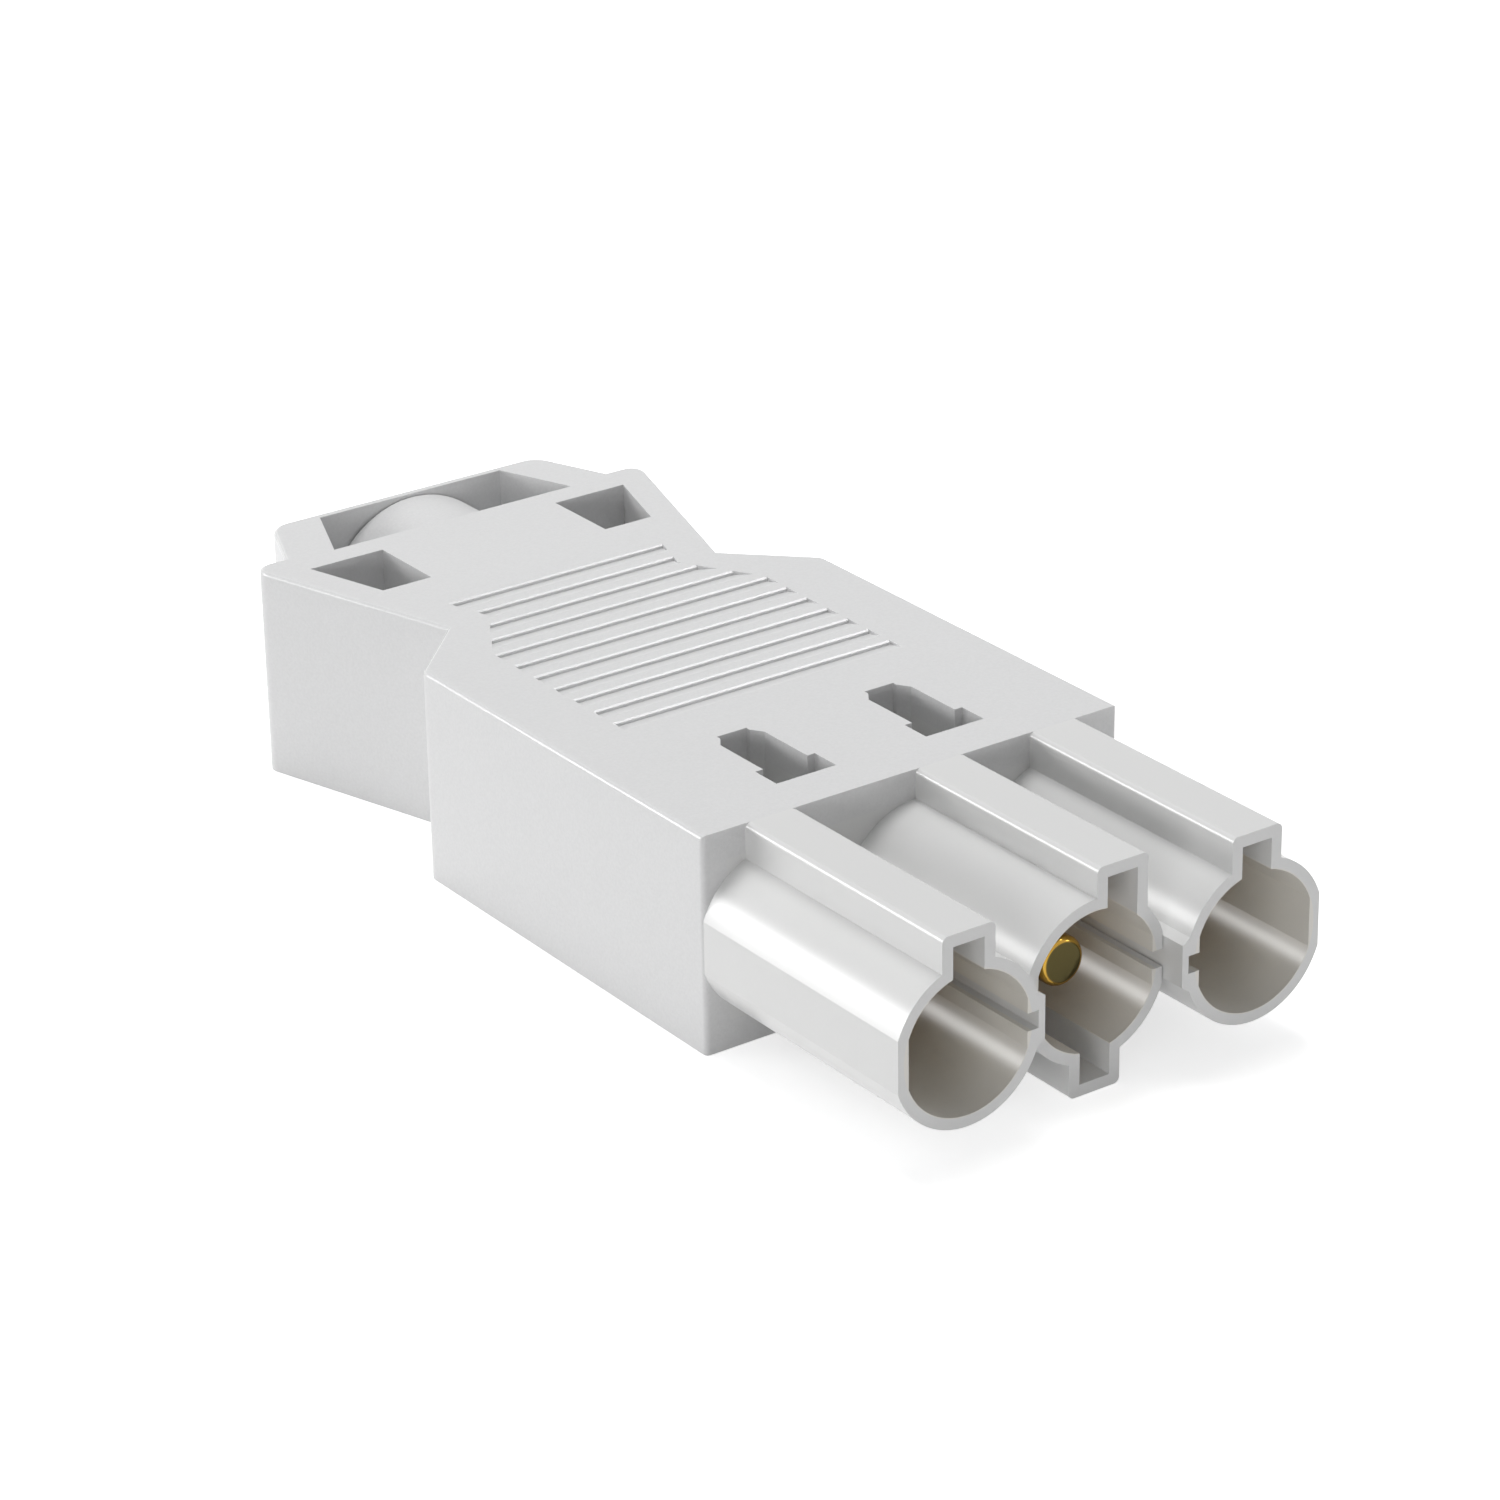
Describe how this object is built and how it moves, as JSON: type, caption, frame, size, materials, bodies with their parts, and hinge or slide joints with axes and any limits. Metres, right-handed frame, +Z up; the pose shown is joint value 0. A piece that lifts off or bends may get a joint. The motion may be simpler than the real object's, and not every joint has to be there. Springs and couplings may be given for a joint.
{
  "type": "screw terminal power plug",
  "caption": "Flat cable plug with keyed tubular contact sleeves, a ribbed grip area, screw terminals inside and a screw-driven cable clamp at the rear.",
  "frame": {"origin": "middle of the underside, at the middle of the plug's length, width and lowest face", "axes": "+X across the poles, +Y from the mating sleeves to the cable end, +Z up through the grip face"},
  "size_m": [0.0294, 0.0722, 0.0136],
  "materials": {
    "housing_plastic": "fine satin moulded surface",
    "carrier_plastic": "satin moulded surface",
    "cover_plastic": "fine satin moulded surface",
    "clamp_plastic": "satin moulded surface",
    "contact_brass": "polished turned",
    "terminal_brass": "machined",
    "guard_steel": "zinc plated",
    "screw_steel": "zinc plated"
  },
  "bodies": {
    "shell": {"housing": "housing_plastic", "contact_carrier": "carrier_plastic", "bottom_cover": "cover_plastic", "cable_cradle": "clamp_plastic", "cover_screws": "screw_steel", "contact_pin_line": "contact_brass", "contact_pin_earth": "contact_brass", "contact_pin_neutral": "contact_brass", "terminal_body_line": "terminal_brass", "terminal_body_earth": "terminal_brass", "terminal_body_neutral": "terminal_brass"},
    "guard_line": {"wire_guard_line": "guard_steel"},
    "guard_earth": {"wire_guard_earth": "guard_steel"},
    "guard_neutral": {"wire_guard_neutral": "guard_steel"},
    "screw_line": {"terminal_screw_line": "screw_steel"},
    "screw_earth": {"terminal_screw_earth": "screw_steel"},
    "screw_neutral": {"terminal_screw_neutral": "screw_steel"},
    "saddle": {"cable_saddle": "clamp_plastic"},
    "clamp_screw_left": {"saddle_screw_left": "screw_steel"},
    "clamp_screw_right": {"saddle_screw_right": "screw_steel"}
  },
  "joints": [
    {"name": "guard_line_slide", "type": "slide", "parent": "shell", "child": "guard_line", "axis": [0, 0, 1], "range_m": [0, 0.0029]},
    {"name": "screw_line_turn", "type": "hinge", "parent": "guard_line", "child": "screw_line", "pos_m": [-0.01, -0.00088, 0.003], "axis": [0, 0, 1], "range_deg": [0, 2088]},
    {"name": "guard_earth_slide", "type": "slide", "parent": "shell", "child": "guard_earth", "axis": [0, 0, 1], "range_m": [0, 0.0029]},
    {"name": "screw_earth_turn", "type": "hinge", "parent": "guard_earth", "child": "screw_earth", "pos_m": [0, -0.00088, 0.003], "axis": [0, 0, 1], "range_deg": [0, 2088]},
    {"name": "guard_neutral_slide", "type": "slide", "parent": "shell", "child": "guard_neutral", "axis": [0, 0, 1], "range_m": [0, 0.0029]},
    {"name": "screw_neutral_turn", "type": "hinge", "parent": "guard_neutral", "child": "screw_neutral", "pos_m": [0.01, -0.00088, 0.003], "axis": [0, 0, 1], "range_deg": [0, 2088]},
    {"name": "clamp_screw_left_turn", "type": "hinge", "parent": "shell", "child": "clamp_screw_left", "pos_m": [-0.0075, 0.03277, 0.003], "axis": [0, 0, 1], "range_deg": [0, 1920]},
    {"name": "clamp_screw_right_turn", "type": "hinge", "parent": "shell", "child": "clamp_screw_right", "pos_m": [0.0075, 0.03277, 0.003], "axis": [0, 0, 1], "range_deg": [0, 1920]},
    {"name": "saddle_slide", "type": "slide", "parent": "shell", "child": "saddle", "axis": [0, 0, -1], "range_m": [0, 0.0024]}
  ],
  "couplings": [
    {"joint": "guard_line_slide", "follows": "screw_line_turn", "m_per_rad": 0.000079577},
    {"joint": "guard_earth_slide", "follows": "screw_earth_turn", "m_per_rad": 0.000079577},
    {"joint": "guard_neutral_slide", "follows": "screw_neutral_turn", "m_per_rad": 0.000079577},
    {"joint": "clamp_screw_right_turn", "follows": "clamp_screw_left_turn", "ratio": 1},
    {"joint": "saddle_slide", "follows": "clamp_screw_left_turn", "m_per_rad": 0.000071619}
  ]
}
